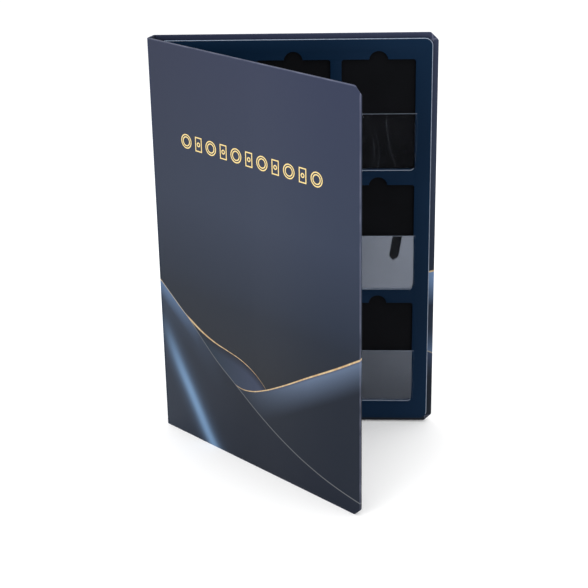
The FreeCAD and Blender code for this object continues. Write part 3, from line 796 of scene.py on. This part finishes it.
# The rim bead stops short of the tail, where the rim lies in shade.
above_tail = panel_low[1] + BEAD_INSET + PANEL_RADIUS / 2
rim_path = [(x, z, BEAD_LIFT) for x, z in panel_rim if z > above_tail]
# The film beads are pale stand-ins for the highlights along each film's foot and free edge.
film_beads = [(seam_path, SEAM_RADIUS), (lip_path, LIP_RADIUS)]
for side in COVERS:
    rim = settle(beads(rim_path, BEAD_RADIUS, 1, 1), f"{side}_panel_weld_bead",
                 PLACES[side], weld_vinyl_and_highlight, 60)
    seams = settle(joined([beads(path, radius, COLUMNS, ROWS) for path, radius in film_beads]),
                   f"{side}_film_weld_beads", PLACES[side], weld_vinyl_and_highlight, 60)
    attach(rim, BODIES[side])
    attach(seams, BODIES[side])

# ---------------------------------------------------------------------------------------------
# Pocket films: clear calendered vinyl over the lower half of each window, welded down at both
# sides and along the foot. The free top edge bows out a little and takes a card behind it.
FILM_THICK = 0.18
FILM_BOW = 0.3
FILM_STEPS = 16
FILM_WIDTH = film_high[0] - film_low[0]
FILM_HEIGHT = film_high[1] - film_low[1]
FILM_WARP = 22.2
DRIP_LEAN = 0.16
DRIP_HALF_WIDTH = 3.9
DRIP_TIP, DRIP_FULL = 25.0, 31.0
DRIP_EDGE = 0.5
STREAK_WIDTH = 0.8
STREAK_REFLECTION = 0.055
WELD_EDGE = 0.15
LEAST_REFLECTION = 0.01


def film_material(name, reflection_at_foot, reflection_at_top, drip=None, streaks=()):
    """Clear film with a painted reflection of the studio light: a pale colour laid over it, whose share
    runs from one value at the foot to another at the top edge.

    The painted reflection is faint in a drip-shaped patch that starts at the distance drip across its
    top edge, and stronger along the streaks, which are parabolas given by their distance across, their
    bend and their middle height.
    """
    film, tree = blank_material(name)
    place = add(tree, "ShaderNodeUVMap", uv_map="film")
    across, up = add(tree, "ShaderNodeSeparateXYZ", place).outputs[:2]
    warp = add(tree, "ShaderNodeTexNoise", sockets={
        "Vector": place, "Scale": 1 / (FILM_WARP * MM), "Detail": 2.0})
    painted_reflection = add(tree, "ShaderNodeMapRange", up, 0.0, FILM_HEIGHT * MM, reflection_at_foot, reflection_at_top)
    reflection_ripple = add(tree, "ShaderNodeMapRange", warp, 0.3, 0.7, 0.94, 1.06)
    painted_reflection = add(tree, "ShaderNodeMath", painted_reflection, reflection_ripple, operation="MULTIPLY")
    # Painted reflection: faint inside a drip-shaped patch.
    if drip:
        lean = add(tree, "ShaderNodeMath", up, -DRIP_LEAN, across, operation="MULTIPLY_ADD")
        middle = (drip - DRIP_LEAN * FILM_HEIGHT) * MM
        away = add(tree, "ShaderNodeMath", lean, middle, operation="SUBTRACT")
        away = add(tree, "ShaderNodeMath", away, operation="ABSOLUTE")
        tip = add(tree, "ShaderNodeMapRange", up, DRIP_TIP * MM, DRIP_FULL * MM, 0.0, DRIP_HALF_WIDTH * MM,
                  interpolation_type="SMOOTHERSTEP")
        inside = add(tree, "ShaderNodeMath", tip, away, operation="SUBTRACT")
        in_faint_patch = add(tree, "ShaderNodeMath", inside, 1 / (DRIP_EDGE * MM), 0.3,
                    operation="MULTIPLY_ADD", use_clamp=True)
        painted_reflection = add(tree, "ShaderNodeMix", in_faint_patch, sockets={2: painted_reflection, 3: LEAST_REFLECTION})
    # Painted reflection: stronger along curved streaks, as from wrinkles in the film.
    for start, bend, middle in streaks:
        level = add(tree, "ShaderNodeMath", up, middle * MM, operation="SUBTRACT")
        curve = add(tree, "ShaderNodeMath", level, level, operation="MULTIPLY")
        line = add(tree, "ShaderNodeMath", curve, bend / MM, across, operation="MULTIPLY_ADD")
        away = add(tree, "ShaderNodeMath", line, start * MM, operation="SUBTRACT")
        away = add(tree, "ShaderNodeMath", away, operation="ABSOLUTE")
        crest = add(tree, "ShaderNodeMapRange", away, STREAK_WIDTH * MM, 0.0, 0.0, STREAK_REFLECTION)
        crest = add(tree, "ShaderNodeMath", crest, warp, operation="MULTIPLY")
        painted_reflection = add(tree, "ShaderNodeMath", painted_reflection, crest, operation="ADD")

    # Inside the window the film hangs free and carries its painted reflection. Where it laps the frame
    # it is welded flat, and the painted reflection there is at its least.
    radius = POCKET_RADIUS * MM
    side_reach = add(tree, "ShaderNodeMath", across, FILM_WIDTH / 2 * MM, operation="SUBTRACT")
    side_reach = add(tree, "ShaderNodeMath", side_reach, operation="ABSOLUTE")
    free_half = (FILM_WIDTH / 2 - FILM_LAP) * MM - radius
    beyond = add(tree, "ShaderNodeMath", side_reach, free_half, operation="SUBTRACT")
    beyond = add(tree, "ShaderNodeMath", beyond, 0.0, operation="MAXIMUM")
    below = add(tree, "ShaderNodeMath", FILM_LAP * MM + radius, up, operation="SUBTRACT")
    below = add(tree, "ShaderNodeMath", below, 0.0, operation="MAXIMUM")
    corner = add(tree, "ShaderNodeMath", below, below, operation="MULTIPLY")
    corner = add(tree, "ShaderNodeMath", beyond, beyond, corner, operation="MULTIPLY_ADD")
    reach = add(tree, "ShaderNodeMath", corner, operation="SQRT")
    free = add(tree, "ShaderNodeMapRange", reach, radius + WELD_EDGE * MM, radius - WELD_EDGE * MM)
    painted_reflection = add(tree, "ShaderNodeMix", free, sockets={2: LEAST_REFLECTION, 3: painted_reflection})

    relief = add(tree, "ShaderNodeBump", sockets={"Height": warp, "Strength": 0.4, "Distance": 0.6 * MM})
    # The pale base colour, laid on by its share, is a painted reflection of the studio light.
    finish = add(tree, "ShaderNodeBsdfPrincipled", sockets={
        "Base Color": linear("#a2abbd"), "Roughness": 0.16, "Alpha": painted_reflection, "Normal": relief, "IOR": 1.53})
    add(tree, "ShaderNodeOutputMaterial", finish)
    return film


# Clear vinyl, calendered: glassy, with a painted reflection of the studio light that is strongest on
# the middle row, weaker on the lowest row and faintest on the top row.
FILMS = {
    1: film_material("vinyl_clear_calendered_faint_painted_reflection", 0.002, 0.002, streaks=[
        (13, 0.011, 20), (27, 0.0108, 16), (31, 0.0105, 15), (36, -0.0047, 46)]),
    2: film_material("vinyl_clear_calendered_strong_painted_reflection", 0.325, 0.34, drip=45.5),
    3: film_material("vinyl_clear_calendered_medium_painted_reflection", 0.08, 0.142, streaks=[(20, 0.004, 45)]),
}
for side in COVERS:
    for row in range(1, ROWS + 1):
        for column in range(1, COLUMNS + 1):
            film_low, film_high = film_box(row, column)
            width, height = film_high[0] - film_low[0], film_high[1] - film_low[1]
            points, film_place = [], []
            for up in range(FILM_STEPS + 1):
                share_up = up / FILM_STEPS
                corner = max(0, FILM_CORNER - share_up * height)
                for across in range(FILM_STEPS + 1):
                    share = across / FILM_STEPS
                    bow = FILM_BOW * math.sin(math.pi * share) * share_up ** 2
                    points.append((film_low[0] + corner + share * (width - 2 * corner),
                                   film_low[1] + share_up * height, film_high[2] + bow))
                    film_place.append((share * width * MM, share_up * height * MM))
            film = make_piece(f"{side}_pocket_film_row{row}_col{column}", PLACES[side], points,
                              grid_faces(FILM_STEPS + 1, FILM_STEPS + 1), FILMS[row])
            film_map = film.data.uv_layers.new(name="film")
            for loop in film.data.loops:
                film_map.data[loop.index].uv = film_place[loop.vertex_index]
            thicken(film, FILM_THICK)
            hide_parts(f"{side}_film_row{row}_col{column}")
            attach(film, BODIES[side])

# ---------------------------------------------------------------------------------------------
# Title ornament: a row of coins and coin cards in outline, hot stamped in gold foil on the front
# cover. The foil is a metal film 0.05 mm thick with the press marks of its brass die.
FOIL_SPECK = 0.8
gold_foil, tree = blank_material("gold_foil_hot_stamped")
object_place = add(tree, "ShaderNodeTexCoord").outputs["Object"]
specks = add(tree, "ShaderNodeTexNoise", sockets={
    "Vector": object_place, "Scale": 1 / (FOIL_SPECK * MM), "Detail": 3.0})
gold = add(tree, "ShaderNodeMix", specks, data_type="RGBA",
           sockets={6: linear("#e3bf72"), 7: linear("#fbe9ae")})
relief = add(tree, "ShaderNodeBump", sockets={"Height": specks, "Strength": 0.2, "Distance": 0.05 * MM})
polish = add(tree, "ShaderNodeMapRange", specks, 0.3, 0.7, 0.25, 0.38)
foil_finish = add(tree, "ShaderNodeBsdfPrincipled", sockets={
    "Base Color": gold.outputs[2], "Metallic": 1.0, "Roughness": polish, "Normal": relief})
add(tree, "ShaderNodeOutputMaterial", foil_finish)
finish_node("title_foil", gold_foil)

# ---------------------------------------------------------------------------------------------
# Studio: a plain pale floor under a white sky, a large soft light overhead and a weak fill from
# the front left. The camera looks down on the album from a little more than a metre away.
# Places and sizes are in metres here, and the lamps' powers are in watts.
FLOOR_SIZE = 12.0
FLOOR_WASH = 0.667
floor_mesh = bpy.data.meshes.new("studio_floor")
half = FLOOR_SIZE / 2
floor_mesh.from_pydata([(-half, -half, 0), (half, -half, 0), (half, half, 0), (-half, half, 0)],
                       [], [(0, 1, 2, 3)])
floor = bpy.data.objects.new("studio_floor", floor_mesh)
bpy.context.scene.collection.objects.link(floor)
floor_paint, tree = blank_material("studio_floor_matt_paint")
wash = add(tree, "ShaderNodeTexNoise", sockets={
    "Vector": add(tree, "ShaderNodeTexCoord").outputs["Object"], "Scale": 1 / FLOOR_WASH})
paint = add(tree, "ShaderNodeMix", wash, data_type="RGBA",
            sockets={6: linear("#f4f4f4"), 7: linear("#f8f8f8")})
floor_finish = add(tree, "ShaderNodeBsdfPrincipled", sockets={
    "Base Color": paint.outputs[2], "Roughness": 0.9, "Specular IOR Level": 0.1,
    "Emission Color": linear("#ffffff"), "Emission Strength": 0.1})
add(tree, "ShaderNodeOutputMaterial", floor_finish)
floor_mesh.materials.append(floor_paint)

sky = bpy.data.worlds.new("studio_sky")
sky.use_nodes = True
sky.node_tree.nodes["Background"].inputs["Color"].default_value = linear("#ffffff")
sky.node_tree.nodes["Background"].inputs["Strength"].default_value = 0.98
bpy.context.scene.world = sky
bpy.context.scene.view_settings.view_transform = "Standard"

for name, place, aim, size, power in (
        ("overhead_softbox", (0.0, -0.1, 1.6), (0, 0, 0), 1.2, 12.0),
        ("front_left_fill", (-1.1, -1.3, 0.9), (0, 0, 0.15), 0.9, 5.5)):
    lamp = bpy.data.lights.new(name, "AREA")
    lamp.size = size
    lamp.energy = power
    light = bpy.data.objects.new(name, lamp)
    light.location = place
    light.rotation_euler = (Vector(aim) - Vector(place)).to_track_quat("-Z", "Y").to_euler()
    bpy.context.scene.collection.objects.link(light)

LENS, SENSOR = 90.56, 36.0
CAMERA_PLACE = (0.04846, -1.02902, 0.59082)
CAMERA_TURN, CAMERA_DIP, CAMERA_ROLL = 4.10, 22.11, -1.58
camera_data = bpy.data.cameras.new("camera")
camera_data.lens = LENS
camera_data.sensor_width = SENSOR
camera_data.shift_x, camera_data.shift_y = 0.06, -0.05
camera_data.clip_start = 0.05
camera = bpy.data.objects.new("camera", camera_data)
camera.matrix_world = (Matrix.Translation(CAMERA_PLACE)
                       @ Matrix.Rotation(math.radians(CAMERA_TURN), 4, "Z")
                       @ Matrix.Rotation(math.radians(90 - CAMERA_DIP), 4, "X")
                       @ Matrix.Rotation(math.radians(CAMERA_ROLL), 4, "Z"))
bpy.context.scene.collection.objects.link(camera)
bpy.context.scene.camera = camera
